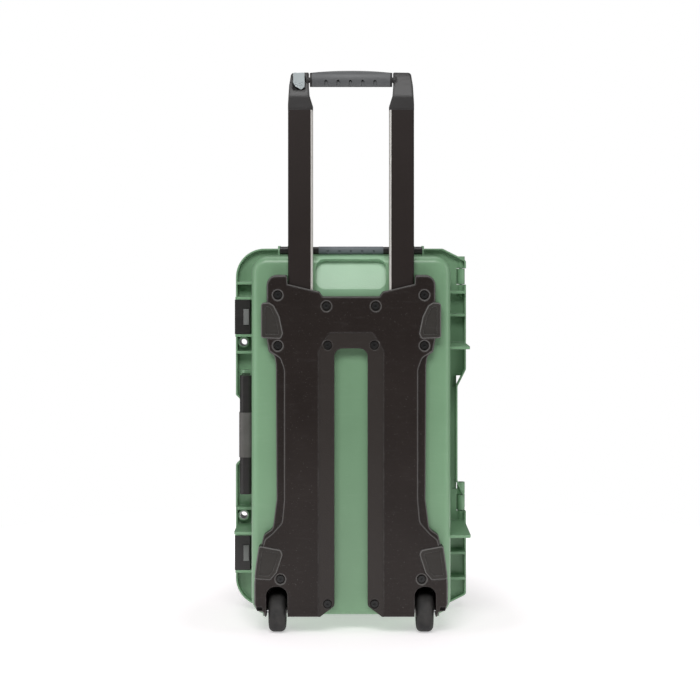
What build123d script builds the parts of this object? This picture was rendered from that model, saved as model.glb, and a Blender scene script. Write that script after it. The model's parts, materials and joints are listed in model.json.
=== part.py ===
from build123d import *
import os

os.makedirs("parts", exist_ok=True)

# Frame: +Z up, the trolley faces -Y, the lid faces +Y, the hinge is at +X.
# The origin is on the floor under the middle of the bounding box. Millimetres.

# overall sizes
case_width = 354.0  # across the guard rims
case_height = 558.0  # floor to the top of the rims
case_depth = 229.0  # face of the wheel bumpers to face of the lid
lid_depth = 66.5  # parting plane to face of the lid
housing_depth = 20.0  # bumper face to the back of the base
bumper_proud = 1.5  # bumpers stand this far in front of the housing face
rim_reach = 32.0  # rims beyond the side walls of the body
rim_thick = 7.0  # lid rim
rim_plate = 3.0  # base rim, stiffened by the skirt round its edge
skirt_wall = 2.6
skirt_deep = 13.0
seam = 0.4  # half of the black gap between the two rims
corner = 24.0  # body corner radius
wall = 3.5
back_wall = 6.0  # base wall that carries the housing screws
back_round = 11.0  # soft edge round the back of the base
scoop_tilt = 17.0  # degrees, finger scoop behind the parked grip
scoop_high = 40.0

# wheels
wheel_radius = 29.0
wheel_width = 25.0
well_play = 3.0  # each side of a wheel
liner_wall = 1.4
hub_radius = 20.5
axle_radius = 3.0
bush_radius = 4.6

# trolley
tube_width = 36.0
tube_thick = 13.0
tube_wall = 1.6
tube_play = 1.5  # tube to channel, front and back
side_play = 2.0  # tube to channel, left and right
slide_fit = 0.12  # tube in its guide bush, glide in its channel
plate_wall = 2.5
edge_round = 2.4  # rounded front edges of the housing
screw_radius = 2.0
screw_head_radius = 5.0
recess_radius = 6.8
lock_radius = 3.0
rod_radius = 2.5

# latches, hinge, handles
latch_high = 52.0
latch_gap = 0.4
latch_pin_radius = 2.0
hinge_pin_radius = 2.5
knuckle_radius = 6.0
pin_fit = 0.05  # running fit on a pin, radial
eyelet_radius = 5.0
eyelet_wall = 1.5
handle_pin_radius = 2.5

# positions that follow from the sizes above
front_y = -case_depth / 2
plate_y = front_y + bumper_proud
back_y = front_y + housing_depth
part_y = case_depth / 2 - lid_depth
face_y = case_depth / 2
base_rim_y = part_y - seam / 4
lid_rim_y = part_y + seam
body_half = case_width / 2 - rim_reach
rim_half = case_width / 2
rim_bottom = 8.0
body_bottom = 24.5
body_top = case_height - 11.0
body_mid = (body_top + body_bottom) / 2
body_high = body_top - body_bottom
wide = case_width / 354.0
high = case_height / 558.0
hinge_x = rim_half - 7.0
lid_edge_x = hinge_x - 7.0

tube_x = 73.0 * wide
tube_in = tube_x - tube_width / 2
tube_out = tube_x + tube_width / 2
tube_y = plate_y + plate_wall + tube_play + tube_thick / 2
channel_depth = tube_thick + 2 * tube_play
channel_width = tube_width + 2 * side_play
housing_top = case_height - 38.0
travel = housing_top - 270.0
tube_low = housing_top - 110.0
tube_high = case_height + travel - 50.0
head_top = tube_high + 55.0
channel_low = tube_low - travel - 20.0
centre_half = tube_in - 31.0
lock_z = tube_low - 6.0

wheel_x = 107.0 * wide
wheel_y = plate_y + wheel_radius
well_half = wheel_width / 2 + well_play
bay_half = well_half + liner_wall + 0.1  # the base is cut wider, for the liner
arch_top = 2 * wheel_radius + 13.0

latch_zs = {"upper": 454.0 * high, "lower": 95.0 * high}
latch_x = -(rim_half - 12.0)
latch_y = part_y - 24.0
eyelet_x = -(rim_half - 12.0)
eyelet_zs = [
    latch_zs["upper"] - latch_high / 2 - 14.0,
    latch_zs["lower"] + latch_high / 2 + 27.0,
]
hinge_zs = [515.0 * high, 166.0 * high]

side_mid = 279.5 * high
side_half = 88.5
side_pivot_x = -(body_half + 15.0)
side_pivot_y = 12.0
top_half = 106.0 * wide
top_pivot_y = 0.0
top_pivot_z = body_top + 8.0


def facing(y):
    """XZ drawing plane at this Y; a positive extrusion comes towards the trolley side."""
    return Plane.XZ.offset(-y)


def keep(piece, name):
    piece.part.label = name
    export_step(piece.part, f"parts/{name}.step")


def both(points):
    """A right-hand run of points closed by its mirror image."""
    return points + [(-x, z) for x, z in reversed(points)]


# ---------------------------------------------------------------- base and lid
well_top = arch_top
well_back = wheel_y + wheel_radius + 4.0
foam_bottom = well_top + 5.0
scoop_half = 51.0 * wide
scoop_low = body_top - 48.0
rib_t = 4.0
rib_edge = rim_half - 2.0
short_ribs_latch = [z * high for z in (505.0, 399.0, 160.0)]
short_ribs_hinge = [z * high for z in (491.0, 456.0, 92.0, 53.0)]

with BuildPart() as base_shell:
    with BuildSketch(facing(back_y)):
        with Locations((0, body_mid)):
            RectangleRounded(2 * body_half, body_high, corner)
    extrude(amount=-(base_rim_y - back_y))
    fillet(base_shell.edges().group_by(Axis.Y)[0], radius=back_round)
    # guard rim: a thin plate, then a skirt round its edge
    for deep, hollow in ((rim_plate, False), (skirt_deep, True)):
        with BuildSketch(facing(base_rim_y)):
            with BuildLine():
                FilletPolyline(
                    [
                        (-rim_half, rim_bottom),
                        (-rim_half, 226.0 * high),
                        (-rim_half + 6, 232.0 * high),
                        (-rim_half + 6, 327.0 * high),
                        (-rim_half, 333.0 * high),
                        (-rim_half, case_height),
                        (rim_half - 36, case_height),
                        (rim_half, case_height - 18),
                        (rim_half, 372.0 * high),
                        (rim_half - 13, 346.0 * high),
                        (rim_half - 13, 201.0 * high),
                        (rim_half, 175.0 * high),
                        (rim_half, rim_bottom + 18),
                        (rim_half - 36, rim_bottom),
                    ],
                    radius=[44, 2, 3, 3, 2, 44, 8, 6, 8, 6, 6, 8, 6, 8],
                    close=True,
                )
            make_face()
            if hollow:
                offset(amount=-skirt_wall, mode=Mode.SUBTRACT)
        extrude(amount=deep)
    # stiffening web along both sides, just behind the rim
    for side in (-1, 1):
        with Locations((side * (body_half + 2.5), base_rim_y - 14, body_mid)):
            Box(8, 16, body_high - 60)
    # the web stops behind the side handle, so that fingers close round the grip
    with Locations((-(body_half + 8), base_rim_y - 14, side_mid)):
        Box(16, 16, 2 * side_half - 20, mode=Mode.SUBTRACT)
    # shelves and short ribs between the side walls and the rim
    for z in short_ribs_latch:
        with Locations((-(body_half + rib_edge) / 2, base_rim_y - 12, z)):
            Box(rib_edge - body_half + 2, 24, rib_t)
    for z in short_ribs_hinge:
        with Locations(((body_half + rib_edge) / 2, base_rim_y - 12, z)):
            Box(rib_edge - body_half + 2, 24, rib_t)
    for side, z, deep in (
        (1, 412.0 * high, 118.0),
        (1, 137.5 * high, base_rim_y - back_y - 11),
        (-1, eyelet_zs[1] - 16.0, 76.0),
    ):
        with BuildSketch(Plane.XY.offset(z - rib_t / 2)):
            with Locations((side * (body_half - 6 + rib_edge) / 2, base_rim_y - deep / 2)):
                RectangleRounded(rib_edge - body_half + 6, deep, 3.5)
        extrude(amount=rib_t)
    # latch bays: the rim is open and a rib on each side carries the latch pin
    for z in latch_zs.values():
        with Locations((-rim_half, base_rim_y - 20, z)):
            Box(2 * rim_reach - 8, 60, latch_high + 2 * latch_gap, mode=Mode.SUBTRACT)
        for end in (-1, 1):
            rib_z = z + end * (latch_high / 2 + latch_gap + rib_t / 2)
            with Locations((-(body_half + rib_edge) / 2, base_rim_y - 19, rib_z)):
                Box(rib_edge - body_half + 2, 38, rib_t)
        with Locations((latch_x, latch_y, z)):
            Cylinder(latch_pin_radius, latch_high + 2 * rib_t + 2, mode=Mode.SUBTRACT)
    # padlock eyelet bosses
    for z in eyelet_zs:
        with BuildSketch(facing(base_rim_y)):
            with Locations((eyelet_x, z)):
                Circle(8.5)
        extrude(amount=12)
        with BuildSketch(facing(base_rim_y)):
            with Locations((eyelet_x, z)):
                Circle(eyelet_radius + eyelet_wall)
        extrude(amount=14, mode=Mode.SUBTRACT)
    # open triangles at the ends of the hinge-side waist
    for z0, z1 in ((345.0 * high, 362.0 * high), (202.0 * high, 187.0 * high)):
        with BuildSketch(facing(base_rim_y)):
            with BuildLine():
                Polyline(
                    (rim_half - 19, z0),
                    (rim_half - 14.5, z0),
                    (rim_half - 6, z1),
                    (rim_half - 19, z1),
                    close=True,
                )
            make_face()
        extrude(amount=rim_plate, mode=Mode.SUBTRACT)
    # hinge: windows for the lid knuckles, then the base knuckles
    for z in hinge_zs:
        with Locations((hinge_x + 4, part_y - 10, z)):
            Box(22, 24, 25, mode=Mode.SUBTRACT)
        for end in (-1, 1):
            with BuildSketch(Plane.XY.offset(z + end * 22 - 9)):
                with Locations((hinge_x, part_y)):
                    Circle(knuckle_radius)
            extrude(amount=18)
        with Locations((hinge_x, part_y, z)):
            Cylinder(hinge_pin_radius, 64, mode=Mode.SUBTRACT)
    # ears for the side handle
    for end in (-1, 1):
        ear_z = side_mid + end * (side_half + 3.0)
        with BuildSketch(Plane.XY.offset(ear_z - 2.5)):
            with Locations(((side_pivot_x - body_half + 2) / 2, side_pivot_y)):
                Rectangle(-side_pivot_x - body_half + 2, 14)
            with Locations((side_pivot_x, side_pivot_y)):
                Circle(7)
        extrude(amount=5)
        with Locations((side_pivot_x, side_pivot_y, ear_z)):
            Cylinder(handle_pin_radius, 5, mode=Mode.SUBTRACT)
    # ears for the top handle, one on each side of each arm
    for side in (-1, 1):
        for x in (top_half + 2.4, top_half - 11.9):
            with BuildSketch(Plane.YZ.offset(side * x - 2)):
                with Locations((top_pivot_y, top_pivot_z - 5)):
                    Rectangle(14, 10)
                with Locations((top_pivot_y, top_pivot_z)):
                    Circle(7)
            extrude(amount=4)
            with Locations((side * x, top_pivot_y, top_pivot_z)):
                Cylinder(handle_pin_radius, 4, rotation=(0, 90, 0), mode=Mode.SUBTRACT)
    # feet under the rim
    for side in (-1, 1):
        with Locations((side * (wheel_x + 6), part_y - 17, body_bottom / 2 + 1)):
            Box(24, 22, body_bottom + 2)
    # wheel wells and axle bosses
    for side in (-1, 1):
        with Locations((side * wheel_x, (back_y + well_back) / 2, (body_bottom + well_top) / 2)):
            Box(2 * bay_half + 7, well_back - back_y, well_top - body_bottom)
        for edge in (-1, 1):
            with Locations((side * wheel_x + edge * (bay_half + 2), wheel_y, wheel_radius)):
                Cylinder(6.5, 4, rotation=(0, 90, 0))
    # hollow the body, leaving the wells
    with BuildSketch(facing(base_rim_y)):
        with Locations((0, body_mid)):
            RectangleRounded(2 * (body_half - wall), body_high - 2 * wall, corner - wall)
        for side in (-1, 1):
            with Locations((side * (body_half - 30), body_bottom)):
                Rectangle(76, 2 * (well_top + wall - body_bottom), mode=Mode.SUBTRACT)
    extrude(amount=base_rim_y - back_y - back_wall, mode=Mode.SUBTRACT)
    with BuildSketch(facing(base_rim_y)):
        with Locations((0, (body_bottom + wall + well_top + 8) / 2)):
            RectangleRounded(2 * (body_half - wall), well_top + 8 - body_bottom - wall, 12)
    extrude(amount=base_rim_y - well_back - wall, mode=Mode.SUBTRACT)
    for side in (-1, 1):
        with Locations((side * wheel_x, back_y - 20 + (well_back - back_y) / 2, well_top / 2)):
            Box(2 * bay_half, well_back - back_y + 40, well_top, mode=Mode.SUBTRACT)
        with Locations((side * wheel_x, wheel_y, wheel_radius)):
            Cylinder(axle_radius, 2 * bay_half + 8, rotation=(0, 90, 0), mode=Mode.SUBTRACT)
    # sloping finger scoop behind the parked grip, with the wall thickened behind it
    with Locations((0, back_y + 10, scoop_low + scoop_high / 2 + 1)):
        Box(scoop_half * 2 + 8, 15, scoop_high + 10)
    scoop_plane = Plane(
        origin=(0, back_y + 0.6, scoop_low),
        x_dir=(1, 0, 0),
        z_dir=Vector(0, -1, 0).rotate(Axis.X, -scoop_tilt),
    )
    with BuildSketch(scoop_plane):
        with Locations((0, scoop_high / 2 + 1)):
            RectangleRounded(2 * scoop_half, scoop_high + 2, 13)
    extrude(amount=25, mode=Mode.SUBTRACT)

housing_screws_at = both(
    [
        (tube_out + 14.7, housing_top - 29.0),
        (tube_in - 19.5, housing_top - 45.0),
        (tube_out + 14.6, housing_top - 102.0),
        (tube_in - 21.4, housing_top - 101.4),
        (tube_out + 10.8, arch_top + 10.6),
        (tube_in - 21.2, 45.7),
    ]
)
screw_seat_y = plate_y + 4.0
screw_end_y = back_y + 4.5
with base_shell:
    for x, z in housing_screws_at:
        with Locations((x, (back_y + screw_end_y) / 2, z)):
            Cylinder(
                screw_radius, screw_end_y - back_y, rotation=(90, 0, 0), mode=Mode.SUBTRACT
            )
keep(base_shell, "base_shell")

lid_high = body_high
gasket_in = body_half + 2.0
gasket_out = body_half + 6.0
with BuildPart() as lid_shell:
    with BuildSketch(facing(lid_rim_y)):
        with Locations((0, body_mid)):
            RectangleRounded(2 * body_half, lid_high, corner)
    extrude(amount=-(face_y - lid_rim_y))
    fillet(lid_shell.edges().group_by(Axis.Y)[-1], radius=9)
    with BuildSketch(facing(lid_rim_y + rim_thick)):
        with BuildLine():
            FilletPolyline(
                [
                    (-rim_half, rim_bottom),
                    (-rim_half, 222.0 * high),
                    (-rim_half + 6, 230.0 * high),
                    (-rim_half + 6, 329.0 * high),
                    (-rim_half, 337.0 * high),
                    (-rim_half, case_height),
                    (rim_half - 36, case_height),
                    (lid_edge_x, case_height - 12),
                    (lid_edge_x, rim_bottom + 12),
                    (rim_half - 36, rim_bottom),
                ],
                radius=[44, 2, 2, 2, 2, 44, 8, 4, 4, 8],
                close=True,
            )
        make_face()
    extrude(amount=rim_thick)
    # ribs from the rim to the side walls
    for z in (505.0, 399.0, 279.0, 160.0):
        for side in (-1, 1):
            with Locations((side * (body_half + 7), lid_rim_y + 14, z * high)):
                Box(16, 28, rib_t)
    # latch bays and the catches
    for z in latch_zs.values():
        with Locations((-rim_half, lid_rim_y + 10, z)):
            Box(24, 40, latch_high + 4, mode=Mode.SUBTRACT)
        with Locations((-(body_half + rim_half - 5.4) / 2, part_y + 11.5, z)):
            Box(rim_half - 5.4 - body_half + 2, 4, 40)
    # padlock eyelet bosses
    for z in eyelet_zs:
        with BuildSketch(facing(lid_rim_y + 12)):
            with Locations((eyelet_x, z)):
                Circle(8.5)
        extrude(amount=12)
        with BuildSketch(facing(lid_rim_y + 14)):
            with Locations((eyelet_x, z)):
                Circle(eyelet_radius + eyelet_wall)
        extrude(amount=14, mode=Mode.SUBTRACT)
    # hinge knuckles
    for z in hinge_zs:
        with BuildSketch(Plane.XY.offset(z - 12)):
            with Locations((hinge_x, part_y)):
                Circle(knuckle_radius)
            with Locations((hinge_x - 5, part_y + 3.2)):
                Rectangle(10, 5.6)
        extrude(amount=24)
        with Locations((hinge_x, part_y, z)):
            Cylinder(hinge_pin_radius + pin_fit, 24, mode=Mode.SUBTRACT)
    # hollow
    with BuildSketch(facing(lid_rim_y)):
        with Locations((0, body_mid)):
            RectangleRounded(2 * (body_half - wall), lid_high - 2 * wall, corner - wall)
    extrude(amount=-(face_y - lid_rim_y - wall), mode=Mode.SUBTRACT)
    # seal groove
    with BuildSketch(facing(lid_rim_y)):
        with Locations((0, body_mid)):
            RectangleRounded(2 * gasket_out, lid_high + 2 * (gasket_out - body_half), corner + 6)
            RectangleRounded(
                2 * gasket_in,
                lid_high + 2 * (gasket_in - body_half),
                corner + 2,
                mode=Mode.SUBTRACT,
            )
    extrude(amount=-3, mode=Mode.SUBTRACT)
    # raised panels on the face: grooves cut between them
    for x in (-0.42, 0.42):
        with Locations((x * body_half, face_y, body_mid)):
            Box(14, 5, body_high - 90, mode=Mode.SUBTRACT)
    for z in (0.28, -0.28):
        with Locations((0, face_y, body_mid + z * body_high)):
            Box(body_half * 0.5, 3, 10, mode=Mode.SUBTRACT)
keep(lid_shell, "lid_shell")

with BuildPart() as lid_gasket:
    with BuildSketch(facing(part_y)):
        with Locations((0, body_mid)):
            RectangleRounded(
                2 * gasket_out - 0.2, lid_high + 2 * (gasket_out - body_half) - 0.2, corner + 5.9
            )
            RectangleRounded(
                2 * gasket_in + 0.2,
                lid_high + 2 * (gasket_in - body_half) + 0.2,
                corner + 2.1,
                mode=Mode.SUBTRACT,
            )
    extrude(amount=-(seam + 2.9))
keep(lid_gasket, "lid_gasket")

# ---------------------------------------------------------------- foam inserts
foam_half = body_half - wall - 1.0
foam_top = body_top - wall - 1.0
foam_face_y = part_y - 2.0
foam_back_y = back_y + back_wall + 1.0
# x, z, width, height, depth of each pocket, at the nominal case
pockets = {
    "drone": (-48.0, 392.0, 150.0, 230.0, 105.0),
    "controller": (-48.0, 190.0, 160.0, 120.0, 70.0),
    "battery_a": (84.0, 460.0, 76.0, 46.0, 95.0),
    "battery_b": (84.0, 396.0, 76.0, 46.0, 95.0),
    "battery_c": (84.0, 332.0, 76.0, 46.0, 95.0),
    "charger": (84.0, 230.0, 76.0, 120.0, 80.0),
    "spares": (84.0, 126.0, 76.0, 50.0, 60.0),
}
with BuildPart() as base_foam:
    with BuildSketch(facing(foam_face_y)):
        with Locations((0, (foam_bottom + foam_top) / 2)):
            RectangleRounded(2 * foam_half, foam_top - foam_bottom, corner - wall - 1)
    extrude(amount=foam_face_y - foam_back_y)
    for x, z, w, h, d in pockets.values():
        with BuildSketch(facing(foam_face_y)):
            with Locations((x * wide, z * high)):
                Rectangle(w * wide, h * high)
        extrude(amount=d, mode=Mode.SUBTRACT)
    # relief for the thick wall behind the finger scoop
    with Locations((0, foam_back_y, foam_top)):
        Box(scoop_half * 2 + 12, 24, 2 * (foam_top - scoop_low + 7), mode=Mode.SUBTRACT)
keep(base_foam, "base_foam")

with BuildPart() as lid_foam:
    with BuildSketch(facing(part_y + 4)):
        with Locations((0, body_mid)):
            RectangleRounded(
                2 * foam_half, body_high - 2 * wall - 2, corner - wall - 1
            )
    extrude(amount=-(face_y - wall - 1 - part_y - 4))
keep(lid_foam, "lid_foam")

# ---------------------------------------------------------------- trolley housing
horn_x = 122.0 * wide
waist_x = 108.6 * wide
foot_x = 140.0 * wide
outline = both(
    [
        (tube_in - 14.0, housing_top - 31.0),
        (tube_in - 9.0, housing_top - 24.0),
        (tube_out + 0.5, housing_top - 13.0),
        (tube_out + 1.5, housing_top),
        (horn_x, housing_top),
        (horn_x, housing_top - 93.0),
        (horn_x - 3.0, housing_top - 111.0),
        (waist_x + 2.0, housing_top - 117.0),
        (waist_x, housing_top - 130.0),
        (waist_x - 1.0, arch_top + 125.0),
        (113.0 * wide, arch_top + 82.0),
        (126.0 * wide, arch_top + 74.0),
        (foot_x - 4.0, arch_top + 30.0),
        (foot_x, arch_top + 4.0),
        (foot_x, 45.0),
        (foot_x - 4.0, 34.5),
        (foot_x - 13.0, 33.0),
        (foot_x - 15.5, 26.0),
    ]
)
outline_round = [2, 3.5, 0.5, 3, 15, 6, 5, 8, 20, 30, 12, 10, 20, 8, 6, 3, 2, 2.8]
ridge_x = 96.5 * wide
ridge = both(
    [
        (tube_in - 14.0, housing_top - 31.0),
        (tube_in - 9.0, housing_top - 24.0),
        (tube_out + 0.5, housing_top - 13.0),
        (tube_out + 1.5, housing_top - 1.0),
        (horn_x - 1.0, housing_top - 1.0),
        (horn_x - 1.0, housing_top - 94.0),
        (horn_x - 4.5, housing_top - 110.0),
        (ridge_x + 6.0, housing_top - 120.0),
        (ridge_x, housing_top - 136.0),
        (ridge_x, arch_top + 125.0),
        (ridge_x + 3.0, arch_top + 92.0),
        (114.0 * wide, arch_top + 76.0),
        (124.0 * wide, arch_top + 68.0),
        (foot_x - 4.0, arch_top + 30.0),
        (foot_x - 1.0, arch_top + 4.0),
        (foot_x - 1.0, 45.0),
        (foot_x - 5.0, 35.5),
        (foot_x - 13.5, 34.0),
        (foot_x - 16.0, 27.0),
    ]
)
ridge_round = [2, 3.5, 0.5, 3, 14, 6, 4, 10, 25, 40, 12, 8, 6, 20, 8, 6, 3, 2, 2.8]
step_y = plate_y + 4.5  # the lower flange outside the ridge
pocket_deep = back_y - plate_y - 4.0  # lightening pockets, cut from the back
flange_deep = back_y - step_y - 2.5
bumper_upper = [
    (129.6 * wide, housing_top - 40.5),
    (129.6 * wide, housing_top - 91.0),
    (101.0 * wide, housing_top - 92.0),
    (98.0 * wide, housing_top - 84.0),
    (103.0 * wide, housing_top - 60.0),
    (111.0 * wide, housing_top - 44.0),
    (118.0 * wide, housing_top - 39.5),
]
bumper_lower = [
    (139.5 * wide, arch_top + 11.0),
    (137.0 * wide, arch_top + 32.0),
    (133.0 * wide, arch_top + 59.0),
    (101.0 * wide, arch_top + 53.0),
    (98.5 * wide, arch_top + 46.0),
    (107.0 * wide, arch_top + 20.0),
    (116.0 * wide, arch_top + 9.5),
]


def to_side(points, side):
    """The same run of points on the right (1) or mirrored to the left (-1)."""
    return [(side * x, z) for x, z in points]


with BuildPart() as trolley_housing:
    with BuildSketch(facing(step_y)):
        with BuildLine():
            FilletPolyline(outline, radius=outline_round + outline_round[::-1], close=True)
        make_face()
    extrude(amount=-(back_y - step_y))
    fillet(trolley_housing.faces().sort_by(Axis.Y)[0].outer_wire().edges(), radius=edge_round)
    with BuildSketch(facing(plate_y)):
        with BuildLine():
            FilletPolyline(ridge, radius=ridge_round + ridge_round[::-1], close=True)
        make_face()
    extrude(amount=-(back_y - plate_y) + 1)
    fillet(trolley_housing.faces().sort_by(Axis.Y)[0].outer_wire().edges(), radius=edge_round)
    # lower band around the open centre, then the centre itself
    band_top = housing_top - 83.0
    with BuildSketch(facing(plate_y)):
        with BuildLine():
            FilletPolyline(
                both(
                    [
                        (tube_in - 8.0, 0),
                        (tube_in - 8.0, band_top - 26.0),
                        (tube_in - 24.0, band_top),
                    ]
                ),
                radius=[0, 6, 6, 6, 6, 0],
                close=True,
            )
        make_face()
    extrude(amount=-1.2, mode=Mode.SUBTRACT)
    with BuildSketch(facing(plate_y)):
        with BuildLine():
            FilletPolyline(
                both(
                    [
                        (centre_half + 21, 0),
                        (centre_half + 21, body_bottom + 2.5),
                        (centre_half, body_bottom + 18.5),
                        (centre_half, housing_top - 106.0),
                    ]
                ),
                radius=[0, 3, 5, 12, 12, 5, 3, 0],
                close=True,
            )
        make_face()
    extrude(amount=-(back_y - plate_y), mode=Mode.SUBTRACT)
    for side in (-1, 1):
        # tube channel, open at the top and at the back
        with Locations(
            (side * tube_x, tube_y, (channel_low + housing_top + 20) / 2)
        ):
            Box(
                channel_width,
                channel_depth,
                housing_top + 20 - channel_low,
                mode=Mode.SUBTRACT,
            )
        # slot for the lock pin; its top end stops the handle at full height
        slot_top = lock_z + lock_radius + 0.1
        slot_low = lock_z - travel - lock_radius - 2
        with Locations((side * (tube_in - side_play - 1.5), tube_y, (slot_top + slot_low) / 2)):
            Box(3.2, 2 * lock_radius + 0.4, slot_top - slot_low, mode=Mode.SUBTRACT)
        # lightening pockets between the screw bosses
        inner_x = (centre_half + 3 + tube_in - side_play - 3) / 2
        inner_w = tube_in - side_play - 3 - centre_half - 3
        inner_low = arch_top - 5
        inner_top = housing_top - 114.0
        with Locations((side * inner_x, back_y - pocket_deep / 2, (inner_low + inner_top) / 2)):
            Box(inner_w, pocket_deep, inner_top - inner_low, mode=Mode.SUBTRACT)
        outer_w = waist_x - 3 - tube_out - side_play - 3
        with Locations(
            (
                side * (tube_out + side_play + 3 + outer_w / 2),
                back_y - flange_deep / 2,
                (arch_top + 70 + housing_top - 122) / 2,
            )
        ):
            Box(outer_w, flange_deep, housing_top - 122 - arch_top - 70, mode=Mode.SUBTRACT)
        with Locations(
            (side * (tube_x + 2), back_y - pocket_deep / 2, (channel_low - 5 + arch_top + 8) / 2)
        ):
            Box(tube_width - 12, pocket_deep, channel_low - 13 - arch_top, mode=Mode.SUBTRACT)
        # wheel arch, with a liner that reaches back into the base's wheel well
        with Locations((side * wheel_x, (back_y + well_back) / 2 - 0.5, (body_bottom + well_top) / 2)):
            Box(2 * bay_half - 0.2, well_back - back_y - 0.8, well_top - body_bottom - 0.2)
        with BuildSketch(facing(plate_y - 1)):
            with Locations((side * wheel_x, (arch_top - 2) / 2)):
                RectangleRounded(2 * well_half, arch_top + 2, 14)
        extrude(amount=-(back_y - plate_y + 1), mode=Mode.SUBTRACT)
        liner_deep = well_back - liner_wall - 0.9 - back_y
        with Locations((side * wheel_x, back_y + liner_deep / 2, (well_top - liner_wall) / 2 - 0.1)):
            Box(2 * well_half, liner_deep, well_top - liner_wall, mode=Mode.SUBTRACT)
        with Locations((side * wheel_x, wheel_y, wheel_radius)):
            Cylinder(axle_radius, 2 * bay_half + 2, rotation=(0, 90, 0), mode=Mode.SUBTRACT)
        # drain slot at the foot
        with BuildSketch(facing(plate_y)):
            with Locations((side * (foot_x - 8.0), 39.0)):
                RectangleRounded(8, 5, 1)
        extrude(amount=-6, mode=Mode.SUBTRACT)
        # bumper seats
        for points in (bumper_upper, bumper_lower):
            with BuildSketch(facing(plate_y - 2)):
                with BuildLine():
                    FilletPolyline(to_side(points, side), radius=4, close=True)
                make_face()
                offset(amount=0.2)
            extrude(amount=-(housing_depth + 2), mode=Mode.SUBTRACT)
    # screw recesses
    for x, z in housing_screws_at:
        with BuildSketch(facing(plate_y)):
            with Locations((x, z)):
                Circle(recess_radius)
        extrude(amount=-(screw_seat_y - plate_y), mode=Mode.SUBTRACT)
        with Locations((x, plate_y + 0.9, z)):
            Cone(recess_radius, recess_radius + 1.8, 1.8, rotation=(90, 0, 0), mode=Mode.SUBTRACT)
        with Locations((x, (plate_y + back_y) / 2, z)):
            Cylinder(screw_radius, housing_depth, rotation=(90, 0, 0), mode=Mode.SUBTRACT)
keep(trolley_housing, "trolley_housing")

for side, hand in ((-1, "left"), (1, "right")):
    for points, level in ((bumper_upper, "upper"), (bumper_lower, "lower")):
        with BuildPart() as bumper:
            with BuildSketch(facing(front_y)):
                with BuildLine():
                    FilletPolyline(to_side(points, side), radius=4, close=True)
                make_face()
            extrude(amount=-(back_y - front_y))
            chamfer(
                bumper.faces().sort_by(Axis.Y)[0].outer_wire().edges(), length=1.5
            )
            with BuildSketch(facing(front_y)):
                with BuildLine():
                    FilletPolyline(to_side(points, side), radius=4, close=True)
                make_face()
                offset(amount=-6)
            extrude(amount=-1.0, mode=Mode.SUBTRACT)
        keep(bumper, f"bumper_{level}_{hand}")

with BuildPart() as housing_screws:
    for x, z in housing_screws_at:
        with BuildSketch(facing(screw_end_y)):
            with Locations((x, z)):
                Circle(screw_radius)
        extrude(amount=screw_end_y - screw_seat_y)
        with BuildSketch(facing(screw_seat_y)):
            with Locations((x, z)):
                Circle(screw_head_radius)
        extrude(amount=2.6)
        with BuildSketch(facing(screw_seat_y - 2.6)):
            with Locations((x, z)):
                RegularPolygon(2.2, 6)
        extrude(amount=-1.8, mode=Mode.SUBTRACT)
keep(housing_screws, "housing_screws")

# ---------------------------------------------------------------- trolley handle
head_low = tube_high
neck_in = tube_in + 6.0  # inner edge of the head above its flare
core_z = head_top - 11.5
core_y = tube_y

with BuildPart() as trolley_head:
    with BuildSketch(facing(tube_y - tube_thick / 2)):
        for side in (-1, 1):
            with BuildLine():
                FilletPolyline(
                    [
                        (side * tube_in, head_low),
                        (side * tube_in, head_low + 5),
                        (side * (neck_in - 1), head_low + 21),
                        (side * neck_in, head_low + 34),
                        (side * neck_in, head_top),
                        (side * (tube_out - 4.5), head_top - 0.5),
                        (side * (tube_out - 1.5), head_top - 20),
                        (side * tube_out, head_low + 8),
                        (side * tube_out, head_low),
                    ],
                    radius=[0, 3, 12, 6, 2, 5, 10, 10, 0],
                    close=True,
                )
            make_face()
    extrude(amount=-tube_thick)
    with BuildSketch(Plane.YZ.offset(-tube_out - 2)):
        with BuildLine():
            FilletPolyline(
                [
                    (tube_y - tube_thick / 2, head_low),
                    (tube_y - tube_thick / 2, head_low + 20),
                    (tube_y - tube_thick / 2 + 6, head_top - 7),
                    (tube_y - tube_thick / 2 + 8.5, head_top),
                    (tube_y + tube_thick / 2, head_top),
                    (tube_y + tube_thick / 2, head_low),
                ],
                radius=[0, 6, 4, 1.5, 2, 0],
                close=True,
            )
        make_face()
    extrude(amount=2 * tube_out + 4, mode=Mode.INTERSECT)
    # bar inside the grip
    with Locations((0, core_y, core_z)):
        Cylinder(4.0, 2 * neck_in + 8, rotation=(0, 90, 0))
    # recess for the release button, in the left moulding only
    button_x = -(tube_x + 2.3)
    with BuildSketch(facing(tube_y - tube_thick / 2 - 2)):
        with Locations((button_x, head_top - 13.5)):
            RectangleRounded(17.6, 25.6, 3)
    extrude(amount=-9.2, mode=Mode.SUBTRACT)
    # plugs that fill the tops of the tubes, with the bores for the pull rods
    for side in (-1, 1):
        with Locations((side * tube_x, tube_y, head_low - 18)):
            Box(tube_width - 2 * tube_wall, tube_thick - 2 * tube_wall, 36)
        with Locations((side * tube_x, tube_y, head_low - 16 + 5)):
            Cylinder(rod_radius + 0.3, 52, mode=Mode.SUBTRACT)
        with Locations((side * tube_x, tube_y + tube_thick / 2 - 1.7, head_low - 18)):
            Cylinder(1.5, 3.4, rotation=(90, 0, 0), mode=Mode.SUBTRACT)
keep(trolley_head, "trolley_head")

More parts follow.
